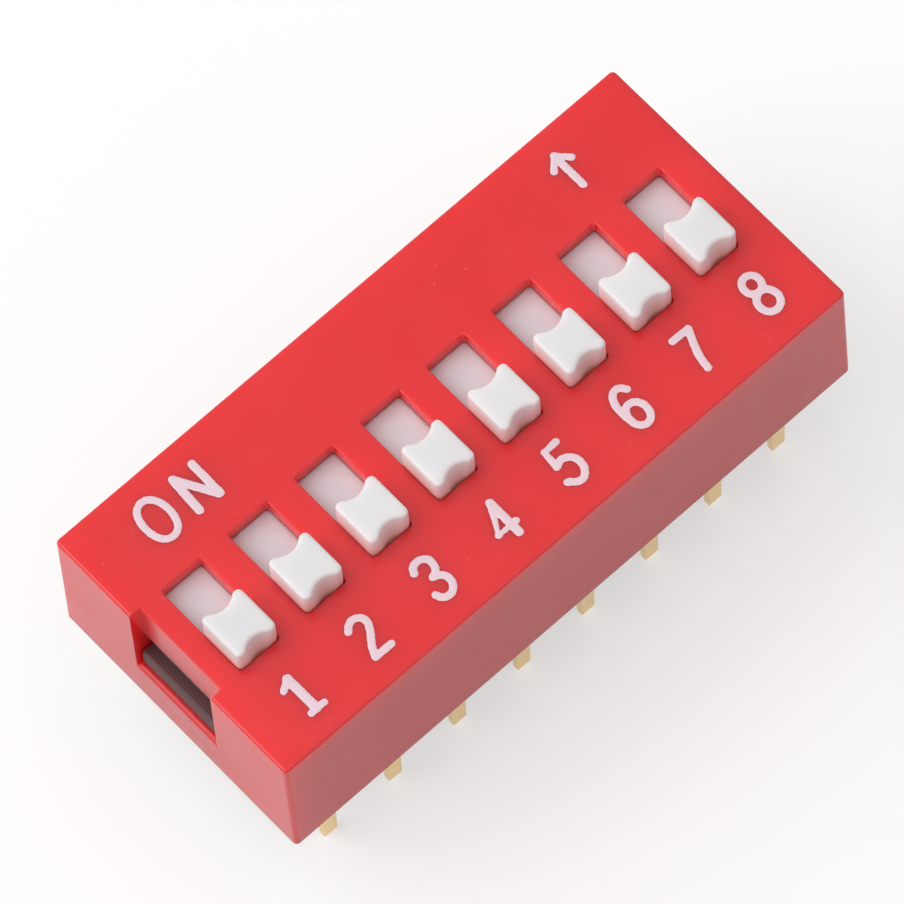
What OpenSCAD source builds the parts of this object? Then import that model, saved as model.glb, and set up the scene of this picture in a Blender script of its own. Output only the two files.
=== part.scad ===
// Slide-type DIP switch with a row of independent positions.
// X runs along the pin rows, +Y is the ON side and Z = 0 is the seating plane.
// A one-piece cover snaps over a base that carries two rows of insert-moulded pins.
// Each position has a slider with a knob, and a spring contact that bridges its two pins.

/* [Positions] */
// Number of switch positions
positions = 8; // [2:1:12]
// Distance between neighbouring positions
pitch = 2.54; // [2.4:0.02:3]
// Distance between the two pin rows
row_spacing = 7.62; // [7.2:0.02:8]

/* [Cover] */
// How far the cover reaches past the cells of the outer positions
end_margin = 0.71; // [0.66:0.01:1.2]
// How far the cover reaches past each pin row, at its rim
side_margin = 1.16; // [1:0.02:2]
// How far each side leans in on its way to the top
draft = 0.05; // [0:0.01:0.08]
// Thickness of the top
top_t = 0.6; // [0.4:0.05:0.8]
// Thickness of the long walls at the rim
wall_t = 0.72; // [0.5:0.02:0.9]
// Thickness of the ribs between the slider channels
rib_t = 0.5; // [0.4:0.02:0.6]
// Radius of the edges round the top
edge_r = 0.1; // [0.04:0.01:0.2]
// Radius of the upright corners
corner_r = 0.15; // [0.1:0.01:0.4]
// Chamfer round the inside of the rim, which leads the base in
lead_in = 0.1; // [0.02:0.01:0.2]

/* [Slots] */
// Width of the slot that a knob stands in
slot_w = 1.5; // [1.3:0.02:1.6]
// Length of the slot, along the knob's travel
slot_l = 3.42; // [3.2:0.02:3.8]
// Chamfer round the mouth of a slot
slot_chamfer = 0.08; // [0.01:0.01:0.12]

/* [End windows] */
// Width of the snap window in each end
window_w = 3.44; // [2.6:0.02:5]
// Depth of the notch that marks the end of position 1, at the top of its wall
notch_depth = 0.4; // [0.3:0.01:0.44]
// Radius of the notch's inner corners
notch_r = 0.06; // [0.04:0.01:0.3]
// Height of the sill that the snap lug catches on
sill_z = 1.8; // [1.6:0.05:2.1]
// How far the lintel of the window lies below the carriages
lintel_drop = 0.3; // [0.2:0.05:0.6]
// Thickness of the end wall below the sill
sill_t = 0.37; // [0.34:0.01:0.39]

/* [Base] */
// How far the underside of the base lies above the seating plane
base_recess = 0.1; // [0.05:0.05:0.4]
// Height of the floor that carries the contact pads
floor_z = 2.6; // [2.3:0.05:2.7]
// How far the nose of a snap lug stands out of the recessed wall
nose_reach = 0.24; // [0.15:0.01:0.28]
// Height of the nose
nose_h = 0.72; // [0.4:0.02:0.9]
// How far the nose's top edge is set back
brow_set = 0.08; // [0.02:0.01:0.12]
// Height of the slope below that edge
brow_h = 0.16; // [0.04:0.02:0.3]
// Thickness of the upright behind the window, from the end of the cavity inwards
upright_t = 0.4; // [0.2:0.05:0.45]
// How far the upright reaches out of the cavity, behind the nose
upright_reach = 0.3; // [0.1:0.02:0.36]
// Running clearance between the base and the cover
base_gap = 0.03; // [0.02:0.01:0.06]

/* [Pins] */
// Thickness of the strip that the pins are stamped from
strip_t = 0.25; // [0.2:0.01:0.3]
// Width of a contact pad
pad_w = 1.4; // [1:0.05:1.6]
// Width of a pin's blade
pin_w = 0.57; // [0.45:0.01:0.7]
// Height at which a pin widens to its pad, inside the base
shoulder_z = 1.3; // [0.6:0.1:1.6]
// Length of a pin below the seating plane
pin_l = 4.3; // [2.8:0.1:5]
// Inner radius of the bend between pad and blade
pin_bend_r = 0.2; // [0.1:0.01:0.3]
// How far each narrow side of a blade leans in towards its tip
tip_taper = 0.04; // [0:0.01:0.08]
// Length over which a blade narrows
tip_taper_l = 1.8; // [0.6:0.1:2.4]
// Chamfer on the narrow sides of a blade's tip
tip_chamfer = 0.12; // [0.02:0.01:0.16]
// Width of the coined bevel on the broad faces of a blade's tip
tip_coin = 0.06; // [0.02:0.01:0.08]
// Height of the coined bevel
tip_coin_h = 0.18; // [0.1:0.02:0.4]
// Distance from the centre line to the end of a number-side pad
number_pad_gap = 0.05; // [0.02:0.01:0.15]
// Distance from the centre line to the end of an ON-side pad
on_pad_gap = 1.1; // [0.9:0.05:1.3]

/* [Sliders] */
// Length of a knob along its travel
knob_l = 1.62; // [1.5:0.02:1.8]
// Height of a knob above the cover
knob_rise = 0.92; // [0.6:0.02:1.4]
// Clearance on each side of a knob in its slot
knob_gap = 0.03; // [0.02:0.005:0.08]
// Clearance between a knob and the end of its slot
stop_gap = 0.03; // [0.02:0.01:0.08]
// Radius of the hollow in each end of a knob
hollow_r = 0.65; // [0.6:0.01:0.9]
// Depth of the hollow in each end of a knob
hollow_depth = 0.22; // [0.15:0.01:0.3]
// Radius of the rim round the top of a hollow
hollow_rim = 0.1; // [0.04:0.01:0.12]
// Radius of the knob's upright corners and top edges
knob_r = 0.12; // [0.04:0.01:0.14]
// Length of the carriage under a knob
carriage_l = 5.6; // [5.3:0.05:6]
// Thickness of the carriage
carriage_t = 0.9; // [0.7:0.05:1]
// Clearance on each side of the carriage in its channel
channel_gap = 0.07; // [0.04:0.01:0.1]
// Clearance between the carriage and the top of its channel
lift_gap = 0.05; // [0.03:0.01:0.08]
// Height of the space for the contacts, between the floor and the carriages
contact_room = 1.15; // [1:0.05:1.4]
// Depth of the pocket that takes the contact
pocket_depth = 0.45; // [0.35:0.05:0.55]
// Length of that pocket
pocket_l = 3.4; // [2.6:0.1:4.4]
// Clearance on each side of a contact in the pocket
pocket_gap = 0.15; // [0.05:0.01:0.2]
// Chamfer on the ends of the carriage
carriage_chamfer = 0.2; // [0.05:0.05:0.3]

/* [Contacts] */
// Thickness of the contact strip
spring_t = 0.1; // [0.08:0.01:0.14]
// Width of the contact strip
spring_w = 0.9; // [0.8:0.02:1]
// Width of the slit that splits each leg into twin wipers
slit_w = 0.16; // [0.1:0.02:0.24]
// Distance between the two wiping points of a contact
wipe_span = 3; // [2.8:0.05:3.2]
// Slope of a contact's legs, in degrees
leg_angle = 61; // [56:1:66]
// Slope of a contact's tails, in degrees
tail_angle = 35; // [20:1:50]
// Length of a contact's tails
tail_l = 0.3; // [0.15:0.05:0.4]
// Inner radius of the bends in a contact
spring_bend_r = 0.15; // [0.1:0.01:0.2]
// Radius of the peg that holds a contact to its carriage
peg_r = 0.2; // [0.15:0.01:0.22]
// Height of the peg's staked head
peg_head_h = 0.1; // [0.06:0.01:0.14]
// How far the staked head reaches past the peg
peg_head_rim = 0.12; // [0.08:0.01:0.16]
// Clearance round the peg in the contact's hole
peg_gap = 0.03; // [0.02:0.01:0.05]
// Clearance under the wiping points
wipe_gap = 0.03; // [0.02:0.01:0.05]

/* [Hidden] */
$fn = 48;
eps = 0.01;

cover_l = positions * pitch + 2 * end_margin;
cover_w = row_spacing + 2 * side_margin;
channel_w = pitch - rib_t;
carriage_z = floor_z + contact_room;
carriage_top = carriage_z + carriage_t;
ceiling_z = carriage_top + lift_gap;
cover_h = ceiling_z + top_t;
lintel_z = carriage_z - lintel_drop;
inner_l = (positions - 1) * pitch + channel_w;
inner_w = cover_w - 2 * wall_t;
recess_x = cover_l / 2 - draft - notch_depth;
knob_w = slot_w - 2 * knob_gap;
carriage_w = channel_w - 2 * channel_gap;
pocket_z = carriage_z + pocket_depth;
travel = slot_l - knob_l - 2 * stop_gap;
rest_y = -travel / 2;
spring_mid_r = spring_bend_r + spring_t / 2;
spring_drop = pocket_z - floor_z - wipe_gap - spring_t;
leg_l = (spring_drop - 2 * spring_mid_r * (1 - cos(leg_angle))) / sin(leg_angle);
half_flat = wipe_span / 2 - 2 * spring_mid_r * sin(leg_angle) - leg_l * cos(leg_angle);

// Place of a position along the pin rows, counted from 1 at the -X end
function position_x(i) = (i - (positions + 1) / 2) * pitch;

// Rectangle with round corners, centred
module rounded_rect(size, r) {
    square([size.x - 2 * r, size.y], center = true);
    square([size.x, size.y - 2 * r], center = true);
    for (sx = [-1, 1], sy = [-1, 1])
        translate([sx * (size.x / 2 - r), sy * (size.y / 2 - r)])
            circle(r);
}

// Upright profile that stands on Y = 0, leans in by lean on each side and has round top corners
module leaning_profile(w, h, lean, r) {
    tilt = atan(lean / h);
    corner_x = w / 2 - lean * (h - r) / h - r / cos(tilt);
    side = [corner_x + r * cos(tilt), h - r + r * sin(tilt)];
    polygon([
        [-w / 2, 0], [w / 2, 0],
        side, [corner_x, h],
        [-corner_x, h], [-side.x, side.y]
    ]);
    for (s = [-1, 1])
        translate([s * corner_x, h - r])
            circle(r);
}

// Extrudes a profile drawn in X and Z along the whole of Y
module along_y(length) {
    rotate([90, 0, 0])
        linear_extrude(length, center = true)
            children();
}

// Extrudes a profile drawn in Y and Z along the whole of X
module along_x(length) {
    rotate([90, 0, 90])
        linear_extrude(length, center = true)
            children();
}

// Four-sided chamfer round the mouth of a rectangular hole that opens upwards at Z = 0
module chamfered_mouth(size, c) {
    intersection() {
        along_y(size.y + 2 * (c + eps))
            mouth_profile(size.x, c);
        along_x(size.x + 2 * (c + eps))
            mouth_profile(size.y, c);
    }
}

module mouth_profile(w, c) {
    polygon([[-w / 2, -c], [w / 2, -c], [w / 2 + c + eps, eps], [-w / 2 - c - eps, eps]]);
}

// Sector of a ring about the origin, from angle a through the given sweep
module ring_sector(r_in, r_out, a, sweep) {
    far = 3 * r_out;
    intersection() {
        difference() {
            circle(r_out);
            circle(r_in);
        }
        polygon([
            [0, 0],
            [far * cos(a), far * sin(a)],
            [far * cos(a + sweep / 2), far * sin(a + sweep / 2)],
            [far * cos(a + sweep), far * sin(a + sweep)]
        ]);
    }
}

// Edge view of a bent strip. Each step is [straight length, bend angle], as on a press brake:
// a positive angle bends to the left, and r is the inner radius of every bend.
module bent_strip(t, r, steps, i = 0) {
    if (i < len(steps)) {
        run = steps[i][0];
        turn = steps[i][1];
        side = sign(turn);
        mid_r = side * (r + t / 2);
        translate([0, -t / 2])
            square([run, t]);
        translate([run, mid_r]) {
            if (turn != 0)
                ring_sector(r, r + t, -side * 90, turn);
            rotate(turn)
                translate([0, -mid_r])
                    bent_strip(t, r, steps, i + 1);
        }
    }
}

// ---- Cover ----

module cover_block() {
    intersection() {
        linear_extrude(cover_h)
            rounded_rect([cover_l, cover_w], corner_r);
        along_y(cover_w)
            leaning_profile(cover_l, cover_h, draft, edge_r);
        along_x(cover_l)
            leaning_profile(cover_w, cover_h, draft, edge_r);
    }
}

// Channel and slot of one position, with the slot's mouth chamfered on its four sides
module channel() {
    translate([-channel_w / 2, -inner_w / 2, floor_z])
        cube([channel_w, inner_w, ceiling_z - floor_z]);
    translate([-slot_w / 2, -slot_l / 2, ceiling_z - eps])
        cube([slot_w, slot_l, top_t + 2 * eps]);
    translate([0, 0, cover_h])
        chamfered_mouth([slot_w, slot_l], slot_chamfer);
}

// Window of the +X end, and the room for the snap lug below it
module end_window() {
    translate([inner_l / 2 - eps, -window_w / 2, sill_z])
        cube([(cover_l - inner_l) / 2 + 2 * eps, window_w, lintel_z - sill_z]);
    translate([inner_l / 2 - eps, -window_w / 2, -eps])
        cube([cover_l / 2 - sill_t - inner_l / 2 + eps, window_w, sill_z + 2 * eps]);
}

// Notch from the sill of the -X window up to the top, with round inner corners
module end_notch() {
    translate([-cover_l / 2, 0, sill_z])
        linear_extrude(cover_h - sill_z + eps)
            rounded_rect([2 * (cover_l / 2 - recess_x), window_w], notch_r);
}

module cover() {
    color("#e84246")
        difference() {
            cover_block();
            translate([-inner_l / 2, -inner_w / 2, -eps])
                cube([inner_l, inner_w, floor_z + 2 * eps]);
            mirror([0, 0, 1])
                chamfered_mouth([inner_l, inner_w], lead_in);
            for (i = [1:positions])
                translate([position_x(i), 0, 0])
                    channel();
            for (turn = [0, 180])
                rotate(turn)
                    end_window();
            end_notch();
        }
}

// ---- Base ----

// Snap lug of the +X end: an upright behind the window, with a blunt nose over the sill
module snap_lug() {
    root_x = inner_l / 2 - upright_t;
    upright_x = inner_l / 2 + upright_reach;
    block_x = cover_l / 2 - sill_t - 2 * base_gap;
    nose_x = recess_x + nose_reach;
    catch_z = sill_z + base_gap;
    nose_z = catch_z + nose_h;
    upright_z = lintel_z - base_gap;
    along_y(window_w - 4 * base_gap)
        polygon([
            [root_x, base_recess], [block_x, base_recess],
            [block_x, catch_z], [nose_x, catch_z],
            [nose_x, nose_z - brow_h], [nose_x - brow_set, nose_z],
            [upright_x, nose_z], [upright_x, upright_z], [root_x, upright_z]
        ]);
}

module base() {
    length = inner_l - 2 * base_gap;
    width = inner_w - 2 * base_gap;
    color("#26211f")
        difference() {
            union() {
                translate([-length / 2, -width / 2, base_recess])
                    cube([length, width, floor_z - base_gap - base_recess]);
                for (turn = [0, 180])
                    rotate(turn)
                        snap_lug();
            }
            for (i = [1:positions]) {
                number_pin_form(i);
                on_pin_form(i);
            }
        }
}

// ---- Pins, moulded into the base ----

// Pin on the +Y side: a pad on the floor, bent down into a blade that narrows to its tip
module pin_form(pad_gap) {
    half_w = pin_w / 2;
    tip_w = half_w - tip_taper;
    bend_mid_r = pin_bend_r + strip_t / 2;
    pad_run = row_spacing / 2 - bend_mid_r - pad_gap;
    blade_run = floor_z - strip_t / 2 - bend_mid_r + pin_l;
    intersection() {
        along_x(pad_w)
            difference() {
                translate([pad_gap, floor_z - strip_t / 2])
                    bent_strip(strip_t, pin_bend_r, [[pad_run, -90], [blade_run, 0]]);
                for (s = [-1, 1])
                    translate([row_spacing / 2, -pin_l])
                        polygon([
                            [s * (strip_t / 2 - tip_coin), 0], [s * strip_t / 2, tip_coin_h],
                            [s * strip_t, tip_coin_h], [s * strip_t, -eps],
                            [s * (strip_t / 2 - tip_coin), -eps]
                        ]);
            }
        along_y(2 * row_spacing)
            polygon([
                [-pad_w / 2, floor_z + eps], [-pad_w / 2, shoulder_z],
                [-half_w, shoulder_z], [-half_w, tip_taper_l - pin_l],
                [-tip_w, tip_chamfer - pin_l], [tip_chamfer - tip_w, -pin_l],
                [tip_w - tip_chamfer, -pin_l], [tip_w, tip_chamfer - pin_l],
                [half_w, tip_taper_l - pin_l], [half_w, shoulder_z],
                [pad_w / 2, shoulder_z], [pad_w / 2, floor_z + eps]
            ]);
    }
}

module number_pin_form(i) {
    translate([position_x(i), 0, 0])
        rotate(180)
            pin_form(number_pad_gap);
}

module on_pin_form(i) {
    translate([position_x(i), 0, 0])
        pin_form(on_pad_gap);
}

module number_pin(i) {
    color("#d8c08c")
        number_pin_form(i);
}

module on_pin(i) {
    color("#d8c08c")
        on_pin_form(i);
}

// ---- Sliders ----

// Upright round cutter that flares out to a round rim at the top
module hollow(height) {
    rotate_extrude() {
        square([hollow_r, height + eps]);
        difference() {
            translate([hollow_r - eps, height - hollow_rim])
                square([hollow_rim + eps, hollow_rim + eps]);
            translate([hollow_r + hollow_rim, height - hollow_rim])
                circle(hollow_rim);
        }
    }
}

// Knob standing on Z = 0, hollowed at both ends for a fingertip or a stylus
module knob(height) {
    difference() {
        intersection() {
            linear_extrude(height)
                rounded_rect([knob_w, knob_l], knob_r);
            along_y(knob_l)
                leaning_profile(knob_w, height, 0, knob_r);
            along_x(knob_w)
                leaning_profile(knob_l, height, 0, knob_r);
        }
        for (s = [-1, 1])
            translate([0, s * (knob_l / 2 - hollow_depth + hollow_r), 0])
                hollow(height);
    }
}

module carriage() {
    end_y = carriage_l / 2;
    top_y = end_y - carriage_chamfer;
    pocket_w = spring_w + 2 * pocket_gap;
    difference() {
        along_x(carriage_w)
            polygon([
                [-end_y, carriage_z], [end_y, carriage_z],
                [end_y, carriage_top - carriage_chamfer], [top_y, carriage_top],
                [-top_y, carriage_top], [-end_y, carriage_top - carriage_chamfer]
            ]);
        translate([-pocket_w / 2, -pocket_l / 2, carriage_z - eps])
            cube([pocket_w, pocket_l, pocket_depth + eps]);
    }
}

// Peg in the roof of the pocket, staked over the contact
module peg() {
    translate([0, 0, pocket_z - spring_t - peg_head_h])
        cylinder(h = spring_t + peg_head_h, r = peg_r);
    translate([0, 0, pocket_z - spring_t - peg_head_h])
        cylinder(h = peg_head_h, r = peg_r + peg_head_rim);
}

module slider(i) {
    color("#f1efef")
        translate([position_x(i), rest_y, 0]) {
            carriage();
            peg();
            translate([0, 0, carriage_top])
                knob(cover_h + knob_rise - carriage_top);
        }
}

// ---- Contacts, carried by the sliders ----

// One half of a contact, from the middle of its flat out to its tail
module half_contact() {
    translate([0, pocket_z - spring_t / 2])
        bent_strip(spring_t, spring_bend_r, [
            [half_flat, -leg_angle],
            [leg_l, leg_angle + tail_angle],
            [tail_l, 0]
        ]);
}

module contact(i) {
    color("#dcb765")
        translate([position_x(i), rest_y, 0])
            difference() {
                along_x(spring_w) {
                    half_contact();
                    mirror([1, 0])
                        half_contact();
                }
                translate([0, 0, pocket_z - 2 * spring_t])
                    cylinder(h = 3 * spring_t, r = peg_r + peg_gap);
                for (s = [-1, 1])
                    translate([0, s * (half_flat + wipe_span / 2), 0])
                        cube([slit_w, wipe_span, 2 * pocket_z], center = true);
            }
}

cover();
base();
for (i = [1:positions]) {
    slider(i);
    contact(i);
    number_pin(i);
    on_pin(i);
}
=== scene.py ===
"""Dressed model of an eight-position slide switch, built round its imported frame.

Each sub-assembly is a class that models its pieces on a bench, where one unit is a millimetre, and
then sets them into the frame in metres. X runs along the rows of pins, +Y is the ON side and Z = 0
is the seating plane.
"""

import logging
import math
from collections.abc import Callable, Iterable
from dataclasses import dataclass
from enum import Enum
from functools import cached_property
from typing import Self

import bmesh
import bpy
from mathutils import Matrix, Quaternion, Vector


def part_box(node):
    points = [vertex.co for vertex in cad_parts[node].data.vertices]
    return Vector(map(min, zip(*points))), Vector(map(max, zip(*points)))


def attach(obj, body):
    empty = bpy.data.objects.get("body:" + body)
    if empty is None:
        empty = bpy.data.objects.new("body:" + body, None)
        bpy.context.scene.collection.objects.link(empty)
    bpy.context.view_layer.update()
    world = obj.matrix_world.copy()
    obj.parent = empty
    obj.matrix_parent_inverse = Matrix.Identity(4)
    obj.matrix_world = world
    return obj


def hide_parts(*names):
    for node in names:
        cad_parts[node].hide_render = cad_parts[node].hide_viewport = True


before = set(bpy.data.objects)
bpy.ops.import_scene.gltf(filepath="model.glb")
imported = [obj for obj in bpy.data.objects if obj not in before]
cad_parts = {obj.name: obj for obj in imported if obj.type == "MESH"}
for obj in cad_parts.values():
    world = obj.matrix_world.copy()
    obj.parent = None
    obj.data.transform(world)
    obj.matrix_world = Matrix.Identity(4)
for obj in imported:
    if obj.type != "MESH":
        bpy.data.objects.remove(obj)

MM = 0.001
HOUSING = "housing"
SMOOTH_ANGLE = math.radians(30)
NEAR = 0.001  # two places this close, in millimetres, are the same
ALONG = 0.9  # a unit vector runs along an axis when its part on it is larger
BEYOND = 1.0  # how far a cutting tool reaches past what it cuts, in millimetres
SMOOTHING = 0.5  # how far a corner moves to its neighbours in one pass, of 1
NOISE_RANGE = (0.3, 0.7)  # where most values of a noise lie

log = logging.getLogger("slide_switch")

Piece = bpy.types.Object
Material = bpy.types.Material
Socket = bpy.types.NodeSocket
Pair = tuple[float, float]
Colour = tuple[float, float, float]
Stops = tuple[tuple[float, Colour], ...]
Triple = Iterable[float]
Rule = Callable[[Vector, Vector], bool]


# ---- Bench: modelling by operators ----


class Pick(Enum):
    """What a selection in edit mode holds."""

    CORNERS = "VERT"
    EDGES = "EDGE"
    FACES = "FACE"


class Cut(Enum):
    """How one solid works on another."""

    REMOVE = "DIFFERENCE"
    ADD = "UNION"


def take(*pieces: Piece) -> None:
    """Selects these objects and nothing else.

    Args:
        pieces: The objects, of which the first becomes the active one.
    """
    if bpy.context.object and bpy.context.object.mode != "OBJECT":
        bpy.ops.object.mode_set(mode="OBJECT")
    bpy.ops.object.select_all(action="DESELECT")
    for piece in pieces:
        piece.select_set(True)
    bpy.context.view_layer.objects.active = pieces[0] if pieces else None


def settled(piece: Piece) -> Piece:
    """Moves a piece's place, turn and size into its mesh.

    Args:
        piece: The object.

    Returns:
        The same object, at the origin.
    """
    take(piece)
    bpy.ops.object.transform_apply(location=True, rotation=True, scale=True)
    return piece


def named(name: str) -> Piece:
    """Names and settles the object that an operator has just added.

    Args:
        name: The new object's name.

    Returns:
        The object.
    """
    piece = bpy.context.object
    piece.name = name
    return settled(piece)


def block(name: str, low: Triple, high: Triple) -> Piece:
    """Adds a cuboid between two corners.

    Args:
        name: The new object's name.
        low: The lowest corner.
        high: The highest corner.

    Returns:
        The cuboid.
    """
    low, high = Vector(low), Vector(high)
    take()
    bpy.ops.mesh.primitive_cube_add(size=1, location=(low + high) / 2, scale=high - low)
    return named(name)


class Editing:
    """Edit mode on one piece, for a with statement. Its methods return it, so that they chain."""

    DOUBLE = 0.0005  # corners this close, in millimetres, become one
    FLAT = math.radians(0.5)
    ARC = 0.5  # the profile that makes a bevel round

    def __init__(self, piece: Piece) -> None:
        """Args: piece: The object to edit."""
        self.piece = piece

    def __enter__(self) -> Self:
        """Returns: This session, with the piece in edit mode."""
        take(self.piece)
        bpy.ops.object.mode_set(mode="EDIT")
        return self

    def __exit__(self, *_: object) -> None:
        """Goes back to object mode."""
        bpy.ops.object.mode_set(mode="OBJECT")

    def pick(self, kind: Pick, rule: Rule) -> Self:
        """Selects corners, edges or faces by their place.

        Args:
            kind: What to select.
            rule: Takes an element's centre and its direction, which is a face's or a corner's
                normal or an edge's unit vector, and says whether it is selected.

        Returns:
            This session.
        """
        bpy.ops.mesh.select_mode(type=kind.value)
        bpy.ops.mesh.select_all(action="DESELECT")
        mesh = bmesh.from_edit_mesh(self.piece.data)
        mesh.normal_update()
        if kind is Pick.CORNERS:
            found = [v for v in mesh.verts if rule(v.co, v.normal)]
        elif kind is Pick.EDGES:
            found = [
                e for e in mesh.edges
                if rule((e.verts[0].co + e.verts[1].co) / 2,
                        (e.verts[1].co - e.verts[0].co).normalized())
            ]
        else:
            found = [f for f in mesh.faces if rule(f.calc_center_median(), f.normal)]
        for element in found:
            element.select_set(True)
        bmesh.update_edit_mesh(self.piece.data)
        return self

    def everything(self) -> Self:
        """Selects the whole mesh."""
        bpy.ops.mesh.select_all(action="SELECT")
        return self

    def move(self, step: Triple) -> Self:
        """Moves what is selected by a step."""
        bpy.ops.transform.translate(value=tuple(step))
        return self

    def resize(self, factors: Triple, centre: Triple) -> Self:
        """Scales what is selected about a centre."""
        bpy.ops.transform.resize(value=tuple(factors), center_override=tuple(centre))
        return self

    def extrude(self, step: Triple) -> Self:
        """Extrudes the selected faces by a step."""
        bpy.ops.mesh.extrude_region_move(TRANSFORM_OT_translate={"value": tuple(step)})
        return self

    def spin(self, centre: Triple, axis: Triple, angle: float, steps: int
             ) -> Self:
        """Sweeps the selected faces round an axis."""
        bpy.ops.mesh.spin(steps=steps, angle=angle, center=tuple(centre), axis=tuple(axis))
        return self

    def bevel(self, width: float, segments: int = 4, clamp: bool = True) -> Self:
        """Rounds the selected edges.

        Args:
            width: The radius of the rounding.
            segments: The number of facets across it.
            clamp: Whether the radius shrinks where edges lie close together.

        Returns:
            This session.
        """
        bpy.ops.mesh.bevel(offset=width, segments=segments, profile=self.ARC,
                           affect="EDGES", clamp_overlap=clamp)
        return self

    def slice(self, place: Triple, normal: Triple) -> Self:
        """Cuts the whole mesh with a plane and keeps both sides."""
        self.everything()
        bpy.ops.mesh.bisect(plane_co=tuple(place), plane_no=tuple(normal))
        return self

    def tidy(self) -> Self:
        """Merges doubles, dissolves flat edges and turns all faces outwards.

        Returns:
            This session.
        """
        self.everything()
        bpy.ops.mesh.remove_doubles(threshold=self.DOUBLE)
        bpy.ops.mesh.dissolve_limited(angle_limit=self.FLAT)
        bpy.ops.mesh.normals_make_consistent(inside=False)
        return self


def upright(place: Vector, along: Vector) -> bool:
    """Says whether an edge stands upright."""
    return abs(along.z) > ALONG


def cleaned(piece: Piece) -> Piece:
    """Tidies a piece's whole mesh.

    Args:
        piece: The object.

    Returns:
        The same object.
    """
    with Editing(piece) as edit:
        edit.tidy()
    return piece


def apply_modifier(piece: Piece, kind: str, **settings: object) -> None:
    """Adds a modifier to a piece and applies it.

    Args:
        piece: The object.
        kind: The modifier's type.
        settings: The modifier's settings by name.
    """
    modifier = piece.modifiers.new(kind.lower(), kind)
    for name, value in settings.items():
        setattr(modifier, name, value)
    take(piece)
    bpy.ops.object.modifier_apply(modifier=modifier.name)


def ease(piece: Piece, width: float, sharper_than: float, segments: int = 2) -> None:
    """Rounds every edge of a piece that is sharp enough.

    Args:
        piece: The object.
        width: The radius of the rounding.
        sharper_than: The angle from which an edge counts as sharp, in degrees.
        segments: The number of facets across the rounding.
    """
    apply_modifier(piece, "BEVEL", width=width, segments=segments, limit_method="ANGLE",
                   angle_limit=math.radians(sharper_than))


def work(piece: Piece, tool: Piece, cut: Cut) -> None:
    """Adds a tool's solid to a piece, or takes it away, and deletes the tool.

    Args:
        piece: The object that is changed.
        tool: The closed solid that it is changed by.
        cut: Whether the tool is added or removed.
    """
    apply_modifier(piece, "BOOLEAN", object=tool, operation=cut.value, solver="EXACT")
    bpy.data.objects.remove(tool, do_unlink=True)


def copied(piece: Piece, name: str, step: Triple) -> Piece:
    """Copies a piece with a mesh of its own.

    Args:
        piece: The object to copy.
        name: The copy's name.
        step: How far the copy lies from the piece.

    Returns:
        The copy, with its place in its mesh.
    """
    take(piece)
    bpy.ops.object.duplicate(linked=False)
    bpy.ops.transform.translate(value=tuple(step))
    return named(name)


def joined(name: str, pieces: list[Piece]) -> Piece:
    """Joins loose solids into one object.

    Args:
        name: The object's name.
        pieces: The solids.

    Returns:
        The object that holds them all.
    """
    take(*pieces)
    if len(pieces) > 1:
        bpy.ops.object.join()
    return named(name)


def turned(piece: Piece) -> Piece:
    """Turns a piece half round the upright axis.

    Args:
        piece: The object.

    Returns:
        The same object.
    """
    take(piece)
    bpy.ops.transform.rotate(value=math.pi, orient_axis="Z", center_override=(0, 0, 0))
    return settled(piece)


def bearing(azimuth: float, elevation: float) -> Vector:
    """Gives the direction from the object to a camera or a lamp.

    Args:
        azimuth: The side it stands on, where 0 is -Y and 90 is +X, in degrees.
        elevation: Its height above the horizon, in degrees.

    Returns:
        A unit vector.
    """
    a, e = math.radians(azimuth), math.radians(elevation)
    return Vector((math.sin(a) * math.cos(e), -math.cos(a) * math.cos(e), math.sin(e)))


def facing(direction: Vector) -> Quaternion:
    """Gives the turn that makes a camera or a lamp look against a direction."""
    return (-direction).to_track_quat("-Z", "Y")


def box_mm(node: str) -> tuple[Vector, Vector]:
    """Gives the lowest and the highest corner of a node at rest, in bench millimetres."""
    low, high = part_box(node)
    return low / MM, high / MM


@dataclass
class Fitting:
    """Where a finished piece belongs in the frame."""

    LARGE_FACES_LEAD = 100  # the shading follows the large faces

    body: str
    slot: str | None = None
    nodes: tuple[str, ...] = ()

    def fit(self, piece: Piece, material: Material) -> None:
        """Brings a piece from the bench to metres, dresses it and hangs it on its body.

        Args:
            piece: The finished piece, in bench millimetres.
            material: What it is made of.
        """
        piece.data.materials.clear()
        piece.data.materials.append(material)
        take(piece)
        bpy.ops.object.shade_smooth_by_angle(angle=SMOOTH_ANGLE)
        apply_modifier(piece, "WEIGHTED_NORMAL", keep_sharp=True,
                       weight=self.LARGE_FACES_LEAD)
        piece.scale = (MM, MM, MM)
        settled(piece)
        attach(piece, self.body)
        if self.nodes:
            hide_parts(*self.nodes)
        log.info("%s: %d faces, on %s", piece.name, len(piece.data.polygons), self.body)


def dress(node: str, material: Material) -> None:
    """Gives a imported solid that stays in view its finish.

    Args:
        node: The solid's name.
        material: Its finish.
    """
    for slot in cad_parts[node].material_slots:
        slot.material = material
    log.info("%s: dressed as packed", node)


# ---- Finishes ----


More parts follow.
